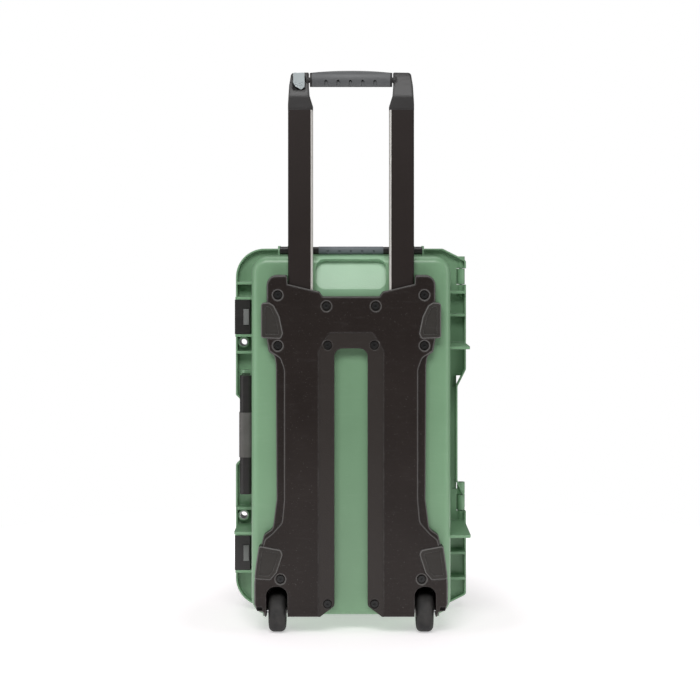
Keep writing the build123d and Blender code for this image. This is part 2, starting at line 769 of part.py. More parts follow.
with BuildPart() as trolley_grip:
    grip_half = neck_in - 1.5
    with BuildSketch(facing(core_y - 12)):
        with BuildLine():
            ThreePointArc(
                (-grip_half, head_top - 1.5), (0, head_top + 2), (grip_half, head_top - 1.5)
            )
            Polyline(
                (grip_half, head_top - 1.5),
                (grip_half, head_top - 21),
                (-grip_half, head_top - 21),
                (-grip_half, head_top - 1.5),
            )
        make_face()
    extrude(amount=-24)
    with BuildSketch(Plane.YZ.offset(-grip_half)):
        with Locations((core_y, core_z + 1)):
            Ellipse(7.4, 12.6)
    extrude(amount=2 * grip_half, mode=Mode.INTERSECT)
    # finger notches, steep on the outer side and running out towards the middle
    for k in range(-2, 3):
        notch_x = k * 17.7 * wide
        notch_z = head_top - 17.5
        with BuildSketch(facing(core_y - 12)):
            with BuildLine():
                Polyline(
                    (notch_x - 3, notch_z - 5),
                    (notch_x - 3, notch_z + 4.5),
                    (notch_x - 1, notch_z + 6),
                    (notch_x + 1.5, notch_z + 4),
                    (notch_x + 2.5, notch_z - 5),
                    close=True,
                )
            make_face()
        extrude(amount=-8, mode=Mode.SUBTRACT)
    with Locations((0, core_y, core_z)):
        Cylinder(4.0, 2 * grip_half, rotation=(0, 90, 0), mode=Mode.SUBTRACT)
keep(trolley_grip, "trolley_grip")

with BuildPart() as release_button:
    with BuildSketch(facing(tube_y - tube_thick / 2 + 0.6)):
        with BuildLine():
            FilletPolyline(
                [
                    (button_x - 8.2, head_top - 1.2),
                    (button_x - 8.2, head_top - 16),
                    (button_x - 5.0, head_top - 21),
                    (button_x + 3.0, head_top - 25.6),
                    (button_x + 8.2, head_top - 22),
                    (button_x + 8.2, head_top - 1.2),
                ],
                radius=[1, 3, 3, 2, 3, 1],
                close=True,
            )
        make_face()
    extrude(amount=-3.2)
    for drop in (17.5, 20.5):
        with BuildSketch(facing(tube_y - tube_thick / 2 + 0.6)):
            with BuildLine():
                Polyline(
                    (button_x - 5.5, head_top - drop + 3),
                    (button_x, head_top - drop),
                    (button_x + 5.5, head_top - drop + 3),
                    (button_x + 5.5, head_top - drop + 1.6),
                    (button_x, head_top - drop - 1.4),
                    (button_x - 5.5, head_top - drop + 1.6),
                    close=True,
                )
            make_face()
        extrude(amount=-0.6, mode=Mode.SUBTRACT)
keep(release_button, "release_button")

with BuildPart() as head_screws:
    for side in (-1, 1):
        with Locations((side * tube_x, tube_y + tube_thick / 2 - 1.6, head_low - 18)):
            Cylinder(1.5, 3.2, rotation=(90, 0, 0))
keep(head_screws, "head_screws")

for side, hand in ((-1, "left"), (1, "right")):
    with BuildPart() as tube:
        with BuildSketch(Plane.XY.offset(tube_low)):
            with Locations((side * tube_x, tube_y)):
                RectangleRounded(tube_width, tube_thick, 3)
                Rectangle(
                    tube_width - 2 * tube_wall, tube_thick - 2 * tube_wall, mode=Mode.SUBTRACT
                )
        extrude(amount=tube_high - tube_low)
        with Locations((side * tube_x, tube_y + tube_thick / 2 - 1, head_low - 18)):
            Cylinder(1.5, 4, rotation=(90, 0, 0), mode=Mode.SUBTRACT)
    keep(tube, f"trolley_tube_{hand}")

    with BuildPart() as bush:
        with BuildSketch(Plane.XY.offset(housing_top - 52)):
            with Locations((side * tube_x, tube_y)):
                Rectangle(channel_width, channel_depth)
                Rectangle(
                    tube_width + 2 * slide_fit, tube_thick + 2 * slide_fit, mode=Mode.SUBTRACT
                )
        extrude(amount=25)
    keep(bush, f"guide_bush_{hand}")

    with BuildPart() as glide:
        with Locations((side * tube_x, tube_y, lock_z)):
            Box(channel_width - 2 * slide_fit, channel_depth - 2 * slide_fit, 12)
        with Locations((side * tube_x, tube_y, tube_low + 15)):
            Box(tube_width - 2 * tube_wall, tube_thick - 2 * tube_wall, 30)
        with Locations((side * tube_x, tube_y, tube_low + 16)):
            Cylinder(rod_radius + 0.3, 28, mode=Mode.SUBTRACT)
        with Locations((side * (tube_in + 8), tube_y, lock_z)):
            Cylinder(lock_radius + pin_fit, 28, rotation=(0, 90, 0), mode=Mode.SUBTRACT)
    keep(glide, f"tube_glide_{hand}")

    with BuildPart() as lock_pin:
        with Locations((side * (tube_in + 6.5), tube_y, lock_z)):
            Cylinder(lock_radius, 21, rotation=(0, 90, 0))
    keep(lock_pin, f"lock_pin_{hand}")

    with BuildPart() as pull_rod:
        rod_low = tube_low + 6
        rod_top = head_low + 10
        with Locations((side * tube_x, tube_y, (rod_low + rod_top) / 2)):
            Cylinder(rod_radius, rod_top - rod_low)
    keep(pull_rod, f"pull_rod_{hand}")

# ---------------------------------------------------------------- wheels
for side, hand in ((-1, "left"), (1, "right")):
    spot = (side * wheel_x, wheel_y, wheel_radius)
    with BuildPart() as tyre:
        with Locations(spot):
            Cylinder(wheel_radius, wheel_width, rotation=(0, 90, 0))
        fillet(tyre.edges(), radius=0.32 * wheel_width)
        with Locations(spot):
            Cylinder(hub_radius, wheel_width, rotation=(0, 90, 0), mode=Mode.SUBTRACT)
    keep(tyre, f"tyre_{hand}")

    with BuildPart() as hub:
        with Locations(spot):
            Cylinder(hub_radius, wheel_width - 3, rotation=(0, 90, 0))
        fillet(hub.edges(), radius=1)
        for edge in (-1, 1):
            with Locations((side * wheel_x + edge * wheel_width / 2, wheel_y, wheel_radius)):
                Cylinder(16, 12, rotation=(0, 90, 0), mode=Mode.SUBTRACT)
            with Locations((side * wheel_x + edge * (wheel_width / 2 - 6), wheel_y, wheel_radius)):
                Cylinder(8, 12, rotation=(0, 90, 0))
        with Locations(Plane(origin=spot, z_dir=(1, 0, 0))):
            with PolarLocations(12, 5):
                Box(11, 3, wheel_width - 6)
        with Locations(spot):
            Cylinder(bush_radius, wheel_width + 20, rotation=(0, 90, 0), mode=Mode.SUBTRACT)
    keep(hub, f"wheel_hub_{hand}")

    with BuildPart() as wheel_bush:
        with Locations(spot):
            Cylinder(bush_radius, wheel_width + 2, rotation=(0, 90, 0))
            Cylinder(
                axle_radius + pin_fit, wheel_width + 4, rotation=(0, 90, 0), mode=Mode.SUBTRACT
            )
    keep(wheel_bush, f"wheel_bush_{hand}")

with BuildPart() as wheel_axles:
    for side in (-1, 1):
        with Locations((side * wheel_x, wheel_y, wheel_radius)):
            Cylinder(axle_radius, 2 * bay_half + 8, rotation=(0, 90, 0))
keep(wheel_axles, "wheel_axles")

# ---------------------------------------------------------------- latches
for name, z in latch_zs.items():
    outer_x = -(rim_half - 0.2)
    with BuildPart() as latch:
        with BuildSketch(Plane.XY.offset(z - latch_high / 2)):
            with Locations(((outer_x + outer_x + 3.4) / 2, part_y - 7.5)):
                Rectangle(3.4, 53)
            with Locations(((outer_x + latch_x + 11.5) / 2, part_y - 36)):
                Rectangle(latch_x + 11.5 - outer_x, 4)
            with Locations(((outer_x + latch_x) / 2, latch_y)):
                Rectangle(latch_x - outer_x, 8)
            with Locations((latch_x, latch_y)):
                Circle(5)
            with Locations((outer_x + 2.5, part_y + 16.7)):
                Rectangle(4.9, 4.4)
        extrude(amount=latch_high)
        with Locations((latch_x, latch_y, z)):
            Cylinder(latch_pin_radius + pin_fit, latch_high, mode=Mode.SUBTRACT)
        with Locations((latch_x + 5.6, part_y - 36, z)):
            Box(8.6, 4, 24.4, mode=Mode.SUBTRACT)
    keep(latch, f"latch_{name}")

    with BuildPart() as latch_button:
        with Locations((latch_x + 5.6, part_y - 36.6, z)):
            Box(8.2, 6.4, 24)
        with Locations((latch_x + 5.6, part_y - 33.1, z)):
            Box(10.2, 1.4, 26)
    keep(latch_button, f"latch_button_{name}")

with BuildPart() as latch_pins:
    for z in latch_zs.values():
        with Locations((latch_x, latch_y, z)):
            Cylinder(latch_pin_radius, latch_high + 2 * (rib_t + latch_gap))
keep(latch_pins, "latch_pins")

# ---------------------------------------------------------------- hinge and eyelets
with BuildPart() as hinge_pins:
    for z in hinge_zs:
        with Locations((hinge_x, part_y, z)):
            Cylinder(hinge_pin_radius, 62)
keep(hinge_pins, "hinge_pins")

for name, y in (("base_eyelets", base_rim_y), ("lid_eyelets", lid_rim_y + 12)):
    with BuildPart() as eyelets:
        for z in eyelet_zs:
            with BuildSketch(facing(y)):
                with Locations((eyelet_x, z)):
                    Circle(eyelet_radius + eyelet_wall)
                    Circle(eyelet_radius, mode=Mode.SUBTRACT)
            extrude(amount=12)
    keep(eyelets, name)

# ---------------------------------------------------------------- carry handles
bar_deep = 21.0
with BuildPart() as top_handle_frame:
    for side in (-1, 1):
        with BuildSketch(Plane.YZ.offset(side * (top_half - 4.75) - 4.5)):
            with Locations((top_pivot_y - 16, top_pivot_z)):
                Rectangle(32, 10)
            with Locations((top_pivot_y, top_pivot_z)):
                Circle(6)
        extrude(amount=9)
        with Locations((side * (top_half - 4.75), top_pivot_y, top_pivot_z)):
            Cylinder(
                handle_pin_radius + pin_fit, 20, rotation=(0, 90, 0), mode=Mode.SUBTRACT
            )
        with BuildSketch(Plane.YZ.offset(side * (top_half + 48 * wide) / 2)):
            with Locations((top_pivot_y - 24 - bar_deep / 2, top_pivot_z)):
                RectangleRounded(bar_deep, 11, 3.5)
        extrude(amount=(top_half - 48 * wide) / 2, both=True)
    with Locations((0, top_pivot_y - 24 - bar_deep / 2, top_pivot_z)):
        Cylinder(3.5, 2 * top_half - 20, rotation=(0, 90, 0))
keep(top_handle_frame, "top_handle_frame")

with BuildPart() as top_handle_grip:
    with BuildSketch(Plane.YZ.offset(-48 * wide)):
        with Locations((top_pivot_y - 24 - bar_deep / 2, top_pivot_z)):
            RectangleRounded(bar_deep + 1, 12, 5)
            Circle(3.5, mode=Mode.SUBTRACT)
    extrude(amount=96 * wide)
    # finger notches along the face that the fingers close round
    for k in range(-2, 3):
        with Locations((k * 17.0 * wide, top_pivot_y - 24 - bar_deep - 1.0, top_pivot_z - 4)):
            Box(3, 4, 8, rotation=(0, 0, 18), mode=Mode.SUBTRACT)
keep(top_handle_grip, "top_handle_grip")

with BuildPart() as top_handle_pins:
    for side in (-1, 1):
        with Locations((side * (top_half - 4.75), top_pivot_y, top_pivot_z)):
            Cylinder(handle_pin_radius, 18.3, rotation=(0, 90, 0))
keep(top_handle_pins, "top_handle_pins")

side_bar_y = side_pivot_y - 24 - bar_deep / 2
side_bar_x = side_pivot_x + 3.5
grip_high = 67.0
with BuildPart() as side_handle_frame:
    for end in (-1, 1):
        arm_z = side_mid + end * (side_half - 5)
        with BuildSketch(Plane.XY.offset(arm_z - 5)):
            with Locations((side_pivot_x, side_pivot_y - 16)):
                Rectangle(10, 32)
            with Locations((side_pivot_x, side_pivot_y)):
                Circle(6)
        extrude(amount=10)
        with Locations((side_pivot_x, side_pivot_y, arm_z)):
            Cylinder(handle_pin_radius + pin_fit, 10, mode=Mode.SUBTRACT)
        with BuildSketch(Plane.XY.offset(side_mid + end * (side_half + grip_high / 2) / 2)):
            with Locations((side_bar_x, side_bar_y)):
                RectangleRounded(20, bar_deep, 7)
        extrude(amount=(side_half - grip_high / 2) / 2, both=True)
    with Locations((side_bar_x, side_bar_y, side_mid)):
        Cylinder(4.5, grip_high + 20)
keep(side_handle_frame, "side_handle_frame")

with BuildPart() as side_handle_grip:
    with BuildSketch(Plane.XY.offset(side_mid - grip_high / 2)):
        with Locations((side_bar_x, side_bar_y)):
            RectangleRounded(22, bar_deep + 1, 8)
            Circle(4.5, mode=Mode.SUBTRACT)
    extrude(amount=grip_high)
keep(side_handle_grip, "side_handle_grip")

with BuildPart() as side_handle_pins:
    for end in (-1, 1):
        with Locations((side_pivot_x, side_pivot_y, side_mid + end * (side_half - 1.5 - 0.75))):
            Cylinder(handle_pin_radius, 15.5)
keep(side_handle_pins, "side_handle_pins")
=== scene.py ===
import json
import math

import bmesh
import bpy
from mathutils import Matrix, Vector


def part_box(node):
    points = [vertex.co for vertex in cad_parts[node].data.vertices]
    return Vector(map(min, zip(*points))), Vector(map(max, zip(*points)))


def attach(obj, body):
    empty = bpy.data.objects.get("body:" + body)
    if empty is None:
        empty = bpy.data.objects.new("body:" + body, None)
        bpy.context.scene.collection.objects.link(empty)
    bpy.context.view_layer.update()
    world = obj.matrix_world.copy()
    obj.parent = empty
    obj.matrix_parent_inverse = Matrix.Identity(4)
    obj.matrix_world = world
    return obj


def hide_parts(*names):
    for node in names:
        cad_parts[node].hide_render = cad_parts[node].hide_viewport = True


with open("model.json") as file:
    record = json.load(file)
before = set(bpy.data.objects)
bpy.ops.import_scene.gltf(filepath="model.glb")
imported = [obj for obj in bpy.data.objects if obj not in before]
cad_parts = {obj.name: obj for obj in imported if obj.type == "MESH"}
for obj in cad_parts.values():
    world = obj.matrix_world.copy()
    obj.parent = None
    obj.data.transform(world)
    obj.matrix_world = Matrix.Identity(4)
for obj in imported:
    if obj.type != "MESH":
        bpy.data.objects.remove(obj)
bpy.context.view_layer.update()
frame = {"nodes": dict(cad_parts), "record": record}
nodes = frame["nodes"]
mm = 0.001
print("frame in, nodes:", len(nodes))


# material kit: a wrapped socket does arithmetic, one method adds any other node

class Wire:
    def __init__(self, kit, socket):
        self.kit = kit
        self.socket = socket

    def calc(self, operation, *values):
        return self.kit.add("ShaderNodeMath", {"operation": operation}, dict(enumerate(values)))

    def __add__(self, other):
        return self.calc("ADD", self, other)

    def __radd__(self, other):
        return self.calc("ADD", other, self)

    def __sub__(self, other):
        return self.calc("SUBTRACT", self, other)

    def __rsub__(self, other):
        return self.calc("SUBTRACT", other, self)

    def __mul__(self, other):
        return self.calc("MULTIPLY", self, other)

    def __rmul__(self, other):
        return self.calc("MULTIPLY", other, self)

    def __truediv__(self, other):
        return self.calc("DIVIDE", self, other)

    def __pow__(self, other):
        return self.calc("POWER", self, other)

    def __abs__(self):
        return self.calc("ABSOLUTE", self)

    def __lt__(self, other):
        return self.calc("LESS_THAN", self, other)

    def __gt__(self, other):
        return self.calc("GREATER_THAN", self, other)


class Finish:
    def __init__(self, name):
        self.material = bpy.data.materials.new(name)
        self.material.use_nodes = True
        self.tree = self.material.node_tree
        self.tree.nodes.clear()
        self.place = self.add("ShaderNodeTexCoord", {}, {}, "Object")  # row frame, metres

    def add(self, kind, settings, sockets, out=0):
        node = self.tree.nodes.new(kind)
        for key, value in settings.items():
            if key == "stops":  # (position, grey level) pairs of a ramp
                ramp = node.color_ramp
                ramp.elements[0].position, ramp.elements[1].position = value[0][0], value[-1][0]
                for at, _ in value[1:-1]:
                    ramp.elements.new(at)
                for element, (_, level) in zip(ramp.elements, value):
                    element.color = (level, level, level, 1)
            else:
                setattr(node, key, value)
        for key, value in sockets.items():
            socket = node.inputs[key]
            if isinstance(value, Wire):
                self.tree.links.new(value.socket, socket)
            elif isinstance(value, tuple) and len(value) == 3 and socket.type == "RGBA":
                socket.default_value = (*value, 1)
            else:
                socket.default_value = value
        return Wire(self, node.outputs[out])

    def noise(self, scale, detail=3, rough=0.5, stretch=(1, 1, 1)):
        where = self.add("ShaderNodeMapping", {}, {"Vector": self.place, "Scale": stretch})
        return self.add(
            "ShaderNodeTexNoise", {}, {"Vector": where, "Scale": scale, "Detail": detail, "Roughness": rough}
        )

    def cells(self, scale, out="Distance", feature="F1"):
        return self.add(
            "ShaderNodeTexVoronoi", {"feature": feature}, {"Vector": self.place, "Scale": scale}, out
        )

    def ramp(self, value, *stops):
        return self.add("ShaderNodeValToRGB", {"stops": stops}, {"Fac": value})

    def blend(self, factor, a, b):
        return self.add("ShaderNodeMix", {"data_type": "RGBA"}, {0: factor, 6: a, 7: b}, 2)

    def part(self, letter):
        return self.add("ShaderNodeSeparateXYZ", {}, {0: self.place}, letter)

    def softEdge(self, radius):
        return self.add("ShaderNodeBevel", {"samples": 4}, {"Radius": radius}, "Normal")

    def edgeMask(self, soft, gain):
        # where the rounded normal leaves the true one, an edge is near
        true = self.add("ShaderNodeNewGeometry", {}, {}, "Normal")
        dot = self.add("ShaderNodeVectorMath", {"operation": "DOT_PRODUCT"}, {0: soft, 1: true}, "Value")
        return self.add("ShaderNodeClamp", {}, {0: (1 - dot) * gain})

    def turned(self):
        # 1 on fillets and bevels that lie between the flat front and the side walls
        true = self.add("ShaderNodeNewGeometry", {}, {}, "Normal")
        facing = abs(self.add("ShaderNodeSeparateXYZ", {}, {0: true}, "Y"))
        return self.ramp(facing, (0.12, 0), (0.4, 1), (0.82, 1), (0.96, 0))

    def bump(self, height, distance, strength=1.0, under=None):
        sockets = {"Height": height, "Distance": distance, "Strength": strength}
        if under is not None:
            sockets["Normal"] = under
        return self.add("ShaderNodeBump", {}, sockets)

    def done(self, sockets):
        shader = self.add("ShaderNodeBsdfPrincipled", {}, sockets)
        end = self.tree.nodes.new("ShaderNodeOutputMaterial")
        self.tree.links.new(shader.socket, end.inputs["Surface"])
        return self.material


def dress(material, *names):
    for name in names:
        for slotOfNode in nodes[name].material_slots:
            slotOfNode.material = material


# moulded plastics

def mouldedPlastic(name, look):
    # pebbled mould grain, a slow drift of tone, dust in the grain, and pale edges that are partly rubbed wear
    # and partly painted highlight
    kit = Finish(name)
    drift = kit.noise(look.get("driftScale", 9), 4)
    grain = kit.noise(look["grainScale"], 2, 0.6)
    pebble = kit.cells(look["grainScale"] * 0.8, feature="SMOOTH_F1")
    scuff = kit.ramp(kit.noise(34, 5, 0.65, look.get("scuffStretch", (1, 1, 7))), (0.56, 0), (0.68, 1))
    soft = kit.softEdge(look["edgeRadius"])
    edge = kit.edgeMask(soft, 3.0) * kit.ramp(kit.noise(120, 4), (0.35, 0.2), (0.65, 1))
    dark = tuple(c * (1 - look["variation"]) for c in look["colour"])
    light = tuple(min(1, c * (1 + look["variation"]) + 0.002) for c in look["colour"])
    body = kit.blend(kit.ramp(drift, (0.3, 0), (0.7, 1)), dark, light)
    # pale edges: partly edge wear, partly a painted highlight along the rounded edges
    body = kit.blend(edge * look["edgeWear"], body, look["worn"])
    body = kit.blend(scuff * look["scuffs"], body, look["worn"])
    # painted highlight: fillets turned between the flat front and the side walls are painted pale, standing
    # in for the side lights' reflection
    if "ridge" in look:
        body = kit.blend(kit.turned() * look["ridge"], body, look["worn"])
    if "scoopHalf" in look:  # the hollow behind the handle leans back towards the key light and is painted paler, a painted highlight
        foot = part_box("trolley_housing")[1].z - look["scoopBelow"]
        half, fade = look["scoopHalf"], look["scoopFade"]
        across = kit.ramp(abs(kit.part("X")), (half, 1), (half + fade, 0))
        rubbed = across * kit.ramp(kit.part("Z"), (foot, 0), (foot + fade, 1))
        body = kit.blend(rubbed * look["scoopRub"], body, look["scoopColour"])
    if "specks" in look:  # lint caught in the grain
        lint = kit.ramp(kit.noise(420, 2, 0.5, (1, 1, 1.6)), (0.70, 0), (0.74, 1))
        body = kit.blend(lint * look["specks"], body, look["worn"])
    if "bandHalf" in look:  # the sunken, slightly paler band beside the open centre
        sunk = kit.part("Y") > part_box("trolley_housing")[0].y + look["bandSunk"]
        inBand = (abs(kit.part("X")) < look["bandHalf"]) * sunk
        body = kit.blend(inBand * look["bandTint"], body, look["bandColour"])
    rough = look["roughness"] + (drift - 0.5) * 0.12 + scuff * 0.08 + (grain - 0.5) * 0.1
    height = grain * 0.6 + pebble * 0.8
    normal = kit.bump(height, look["grainDepth"], look.get("grainStrength", 0.6), soft)
    return kit.done({
        "Base Color": body, "Roughness": rough, "Normal": normal,
        "Specular IOR Level": look.get("specular", 0.5), "Coat Weight": look.get("coat", 0.0),
        "Coat Roughness": 0.3,
    })


greenShell = {
    "colour": (0.185, 0.335, 0.195), "worn": (0.46, 0.58, 0.46), "variation": 0.05,
    "grainScale": 700, "grainDepth": 0.2 * mm, "roughness": 0.34, "edgeRadius": 1.4 * mm,
    "edgeWear": 0.35, "scuffs": 0.03, "specular": 0.5,
}
# the scoop's paler colour is a painted highlight on its slanted panel
scoopedShell = dict(
    greenShell, scoopHalf=46 * mm, scoopBelow=30 * mm, scoopFade=4 * mm,
    scoopRub=0.45, scoopColour=(0.40, 0.66, 0.44),
)
# the housing's pale edges and fillet lines are mostly painted highlight, with a little wear
blackHousing = {
    "colour": (0.0125, 0.008, 0.0065), "worn": (0.16, 0.155, 0.15), "variation": 0.12,
    "grainScale": 850, "grainDepth": 0.3 * mm, "roughness": 0.38, "edgeRadius": 3.0 * mm,
    "edgeWear": 0.5, "scuffs": 0.03, "specular": 0.3, "ridge": 0.6, "specks": 0.35,
    "bandHalf": 47.5 * mm, "bandSunk": 0.7 * mm, "bandTint": 0.6, "bandColour": (0.034, 0.029, 0.026),
}
# the bumpers' pale edges and fillets are mostly painted highlight, with a little wear
blackBumper = {
    "colour": (0.026, 0.023, 0.020), "worn": (0.15, 0.145, 0.14), "variation": 0.15,
    "grainScale": 500, "grainDepth": 0.25 * mm, "roughness": 0.5, "edgeRadius": 1.3 * mm,
    "edgeWear": 0.9, "scuffs": 0.06, "specular": 0.3, "ridge": 0.8,
}
blackSatin = {
    "colour": (0.014, 0.012, 0.012), "worn": (0.10, 0.10, 0.10), "variation": 0.08,
    "grainScale": 1100, "grainDepth": 0.12 * mm, "roughness": 0.36, "edgeRadius": 0.7 * mm,
    "edgeWear": 0.3, "scuffs": 0.04, "specular": 0.5,
}
glossHead = dict(blackSatin, roughness=0.42, specular=0.5, edgeRadius=5 * mm, edgeWear=0.1)
greyLatch = dict(blackSatin, colour=(0.16, 0.16, 0.16), worn=(0.3, 0.3, 0.3))
paleBush = dict(blackSatin, colour=(0.5, 0.49, 0.45), worn=(0.6, 0.58, 0.52), roughness=0.5)
hubPlastic = dict(blackSatin, colour=(0.06, 0.06, 0.062), worn=(0.2, 0.2, 0.2), roughness=0.45)

dress(mouldedPlastic("green_shell", scoopedShell), "base_shell")
dress(mouldedPlastic("green_lid", greenShell), "lid_shell")
dress(mouldedPlastic("black_housing", blackHousing), "trolley_housing")
dress(
    mouldedPlastic("black_bumper", blackBumper),
    "bumper_upper_left", "bumper_upper_right", "bumper_lower_left", "bumper_lower_right",
)
dress(mouldedPlastic("black_head", glossHead), "trolley_head")
dress(mouldedPlastic("black_handle", blackSatin), "top_handle_frame", "side_handle_frame")
dress(mouldedPlastic("black_latch", blackSatin), "latch_upper", "latch_lower")
dress(mouldedPlastic("grey_latch", greyLatch), "latch_button_upper", "latch_button_lower")
dress(
    mouldedPlastic("pale_bush", paleBush),
    "wheel_bush_left", "wheel_bush_right", "guide_bush_left", "guide_bush_right",
    "tube_glide_left", "tube_glide_right",
)
dress(mouldedPlastic("hub_plastic", hubPlastic), "wheel_hub_left", "wheel_hub_right")
print("plastics on")


# rubber grips, tyres and seal

def softRubber(name, look):
    # fine stipple with a dusty bloom, darker where hands have polished it
    kit = Finish(name)
    stipple = kit.cells(look["stippleScale"])
    bloom = kit.ramp(kit.noise(40, 5, 0.6), (0.35, 0), (0.7, 1))
    polished = kit.ramp(kit.noise(16, 3), (0.4, 0), (0.65, 1))
    soft = kit.softEdge(look["edgeRadius"])
    edge = kit.edgeMask(soft, 2.5)
    body = kit.blend(bloom * look["bloom"], look["colour"], look["dust"])
    body = kit.blend(edge * 0.3, body, look["dust"])
    if "collar" in look:  # both ends run into a black collar
        atEnd = abs(kit.part("X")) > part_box("trolley_grip")[1].x - look["collar"]
        body = kit.blend(atEnd, body, look["collarColour"])
    rough = look["roughness"] - polished * 0.12 + bloom * 0.08
    normal = kit.bump(stipple, look["stippleDepth"], 0.5, soft)
    return kit.done({
        "Base Color": body, "Roughness": rough, "Normal": normal,
        "Specular IOR Level": look["specular"],
    })


gripRubber = {
    "colour": (0.085, 0.088, 0.092), "dust": (0.17, 0.175, 0.18), "stippleScale": 1300,
    "stippleDepth": 0.15 * mm, "roughness": 0.48, "edgeRadius": 1.0 * mm, "bloom": 0.25, "specular": 0.45,
}
trolleyGripRubber = dict(gripRubber, collar=3.2 * mm, collarColour=(0.012, 0.011, 0.011))
topGripRubber = dict(gripRubber, colour=(0.11, 0.125, 0.14), dust=(0.24, 0.26, 0.28))
sideGripRubber = dict(gripRubber, colour=(0.088, 0.083, 0.079), dust=(0.18, 0.175, 0.17))
tyreRubber = dict(
    gripRubber, colour=(0.016, 0.016, 0.016), dust=(0.09, 0.085, 0.08),
    roughness=0.7, specular=0.3, bloom=0.35,
)
sealRubber = dict(tyreRubber, bloom=0.1, roughness=0.6)

dress(softRubber("grip_rubber", trolleyGripRubber), "trolley_grip")
dress(softRubber("top_grip_rubber", topGripRubber), "top_handle_grip")
dress(softRubber("side_grip_rubber", sideGripRubber), "side_handle_grip")
dress(softRubber("tyre_rubber", tyreRubber), "tyre_left", "tyre_right")
dress(softRubber("seal_rubber", sealRubber), "lid_gasket")
print("rubbers on")


# metals

def drawnMetal(name, look):
    # drawing lines along one direction, with faint smears and bright edges
    kit = Finish(name)
    lines = kit.noise(look["lineScale"], 3, 0.7, look["lineStretch"])
    smear = kit.noise(25, 4, 0.6)
    soft = kit.softEdge(look["edgeRadius"])
    edge = kit.edgeMask(soft, 3.0)
    body = kit.blend(kit.ramp(lines, (0.3, 0), (0.7, 1)), look["colour"], look["bright"])
    body = kit.blend(edge * look["edgeWear"], body, look["worn"])
    rough = look["roughness"] + (lines - 0.5) * 0.2 + (smear - 0.5) * 0.15
    normal = kit.bump(lines, look["lineDepth"], 0.4, soft)
    return kit.done({"Base Color": body, "Roughness": rough, "Normal": normal, "Metallic": look["metallic"]})


steel = {
    "colour": (0.42, 0.42, 0.43), "bright": (0.6, 0.6, 0.61), "worn": (0.75, 0.75, 0.75), "metallic": 1.0,
    "lineScale": 300, "lineStretch": (1, 1, 12), "lineDepth": 0.04 * mm, "roughness": 0.32,
    "edgeRadius": 0.3 * mm, "edgeWear": 0.3,
}
blackOxide = dict(
    steel, colour=(0.012, 0.012, 0.012), bright=(0.02, 0.02, 0.02), worn=(0.2, 0.2, 0.2),
    metallic=0.4, roughness=0.4,
)
dress(
    drawnMetal("steel", steel),
    "hinge_pins", "latch_pins", "wheel_axles", "base_eyelets", "lid_eyelets",
    "top_handle_pins", "side_handle_pins", "lock_pin_left", "lock_pin_right",
    "pull_rod_left", "pull_rod_right",
)
dress(drawnMetal("black_oxide", blackOxide), "housing_screws", "head_screws")


def anodisedTube(look):
    # black anodised extrusion; the rounded corner on the inner side is painted bright, a painted reflection
    # of the white backdrop
    kit = Finish("anodised_tube")
    across = abs(kit.part("X"))
    low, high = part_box("trolley_tube_right")
    glintStrip = across < low.x + look["bareWidth"]
    lines = kit.noise(260, 4, 0.7, (1, 1, 0.02))
    speck = kit.noise(1800, 2)
    smear = kit.noise(14, 4, 0.6)
    dark = kit.blend(kit.ramp(speck, (0.3, 0), (0.75, 1)), look["colour"], look["fleck"])
    # painted reflection: the inner strip takes a pale metal colour
    body = kit.blend(glintStrip, dark, look["bareColour"])
    rough = look["roughness"] + (smear - 0.5) * 0.16 + (lines - 0.5) * 0.1
    normal = kit.bump(lines * 0.5 + speck * 0.5, 0.05 * mm, 0.35)
    return kit.done({
        "Base Color": body, "Roughness": rough, "Normal": normal, "Metallic": 0.25 + glintStrip * 0.4,
        "Specular IOR Level": 0.3,
    })


# the pale colour of the inner strip is a painted reflection
tubeLook = {
    "colour": (0.013, 0.0085, 0.0075), "fleck": (0.026, 0.019, 0.017), "bareColour": (0.62, 0.60, 0.57),
    "bareWidth": 3.2 * mm, "roughness": 0.45,
}
dress(anodisedTube(tubeLook), "trolley_tube_left", "trolley_tube_right")


def silverButton(look):
    # painted plastic with metal flake, rubbed at its edges
    kit = Finish("silver_button")
    flake = kit.cells(2600, "Color")
    soft = kit.softEdge(0.5 * mm)
    edge = kit.edgeMask(soft, 3.0)
    sparkle = kit.add("ShaderNodeSeparateColor", {}, {0: flake}, 0)
    body = kit.blend(sparkle * 0.25, look["colour"], look["flake"])
    body = kit.blend(edge * 0.4, body, look["rubbed"])
    rough = look["roughness"] + (kit.noise(60, 3) - 0.5) * 0.1
    normal = kit.bump(kit.noise(900, 2), 0.04 * mm, 0.3, soft)
    return kit.done({
        "Base Color": body, "Roughness": rough, "Normal": normal, "Metallic": 0.35, "Coat Weight": 0.3,
    })


buttonLook = {
    "colour": (0.46, 0.51, 0.52), "flake": (0.62, 0.67, 0.68), "rubbed": (0.7, 0.73, 0.73), "roughness": 0.3
}
dress(silverButton(buttonLook), "release_button")
print("metals on")


# foam inserts

def openCellFoam(name, look):
    kit = Finish(name)
    pores = kit.cells(look["poreScale"])
    fine = kit.noise(look["poreScale"] * 2.2, 3, 0.7)
    drift = kit.noise(12, 3)
    body = kit.blend(kit.ramp(pores, (0.1, 0), (0.6, 1)), look["pore"], look["colour"])
    body = kit.blend(kit.ramp(drift, (0.4, 0), (0.6, 0.3)), body, look["dust"])
    normal = kit.bump(pores * 0.7 + fine * 0.5, look["poreDepth"], 0.8)
    return kit.done({
        "Base Color": body, "Roughness": 0.92, "Normal": normal, "Specular IOR Level": 0.15,
        "Sheen Weight": 0.25, "Sheen Roughness": 0.6,
    })


def newPiece(name, mesh, body, material):
    piece = bpy.data.objects.new(name, mesh)
    bpy.context.scene.collection.objects.link(piece)
    mesh.materials.append(material)
    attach(piece, body)
    return piece


